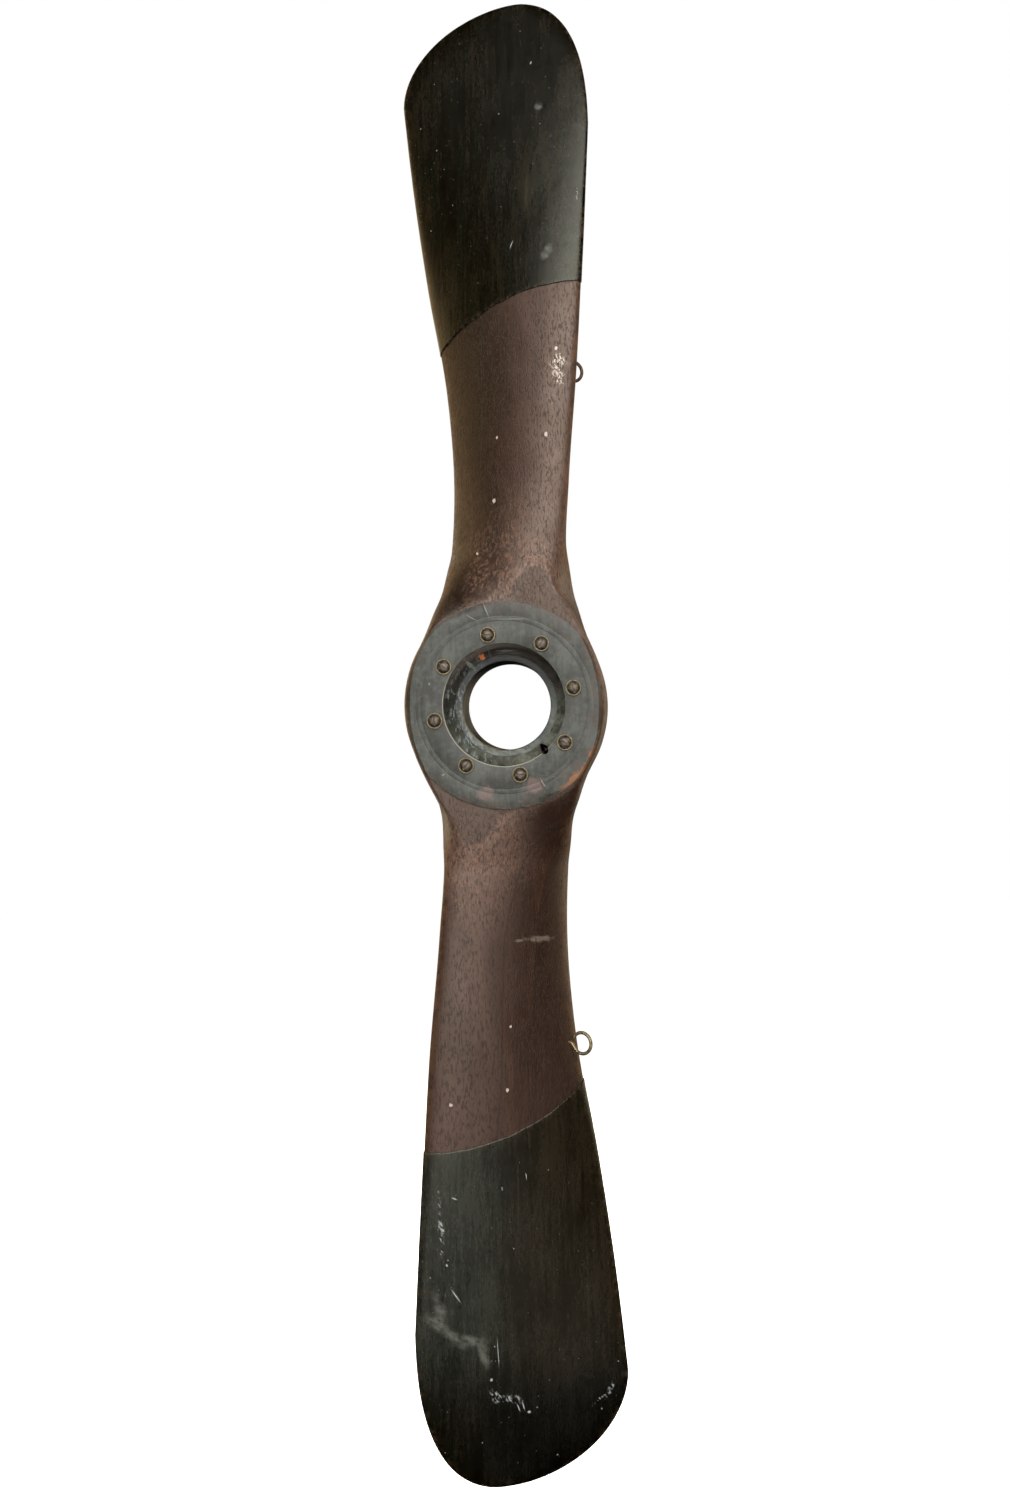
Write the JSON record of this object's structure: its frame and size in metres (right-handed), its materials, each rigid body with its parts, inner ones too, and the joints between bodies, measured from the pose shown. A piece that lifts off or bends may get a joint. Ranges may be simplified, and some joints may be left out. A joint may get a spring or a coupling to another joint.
{
  "type": "wooden propeller",
  "caption": "Two-blade laminated wooden propeller with a painted hub face, a stepped shaft bore, bolts with cup washers, painted fabric on the blade tips and hanging eyes.",
  "frame": {"origin": "middle of the hub on the shaft axis", "axes": "+Z along the blade that points up, -Y out of the front of the hub along the shaft axis, +X to the right seen from the front"},
  "size_m": [0.2782, 0.1544, 1.9988],
  "materials": {
    "mahogany": "aged dark varnish, satin, crackled near the hub",
    "hub_paint": "aged grey-green paint, satin, worn at the rim",
    "sleeve_paint": "scuffed dark green paint",
    "tip_paint": "black-green dope paint on fabric, satin, scuffed",
    "old_steel": "browned steel",
    "old_brass": "tarnished brass",
    "eye_steel": "rusted steel wire",
    "eye_brass": "dull brass wire"
  },
  "bodies": {
    "root": {"lamination_1": "mahogany", "lamination_2": "mahogany", "lamination_3": "mahogany", "lamination_4": "mahogany", "lamination_5": "mahogany", "front_face_plate": "hub_paint", "rear_face_plate": "hub_paint", "bore_sleeve": "sleeve_paint", "hub_bolt_1": "old_steel", "cup_washer_1": "old_brass", "rear_washer_1": "old_steel", "hub_nut_1": "old_steel", "hub_bolt_2": "old_steel", "cup_washer_2": "old_brass", "rear_washer_2": "old_steel", "hub_nut_2": "old_steel", "hub_bolt_3": "old_steel", "cup_washer_3": "old_brass", "rear_washer_3": "old_steel", "hub_nut_3": "old_steel", "hub_bolt_4": "old_steel", "cup_washer_4": "old_brass", "rear_washer_4": "old_steel", "hub_nut_4": "old_steel", "hub_bolt_5": "old_steel", "cup_washer_5": "old_brass", "rear_washer_5": "old_steel", "hub_nut_5": "old_steel", "hub_bolt_6": "old_steel", "cup_washer_6": "old_brass", "rear_washer_6": "old_steel", "hub_nut_6": "old_steel", "hub_bolt_7": "old_steel", "cup_washer_7": "old_brass", "rear_washer_7": "old_steel", "hub_nut_7": "old_steel", "hub_bolt_8": "old_steel", "cup_washer_8": "old_brass", "rear_washer_8": "old_steel", "hub_nut_8": "old_steel", "upper_tip_fabric": "tip_paint", "lower_tip_fabric": "tip_paint", "upper_screw_eye": "eye_steel", "lower_screw_eye": "eye_brass"}
  },
  "joints": []
}
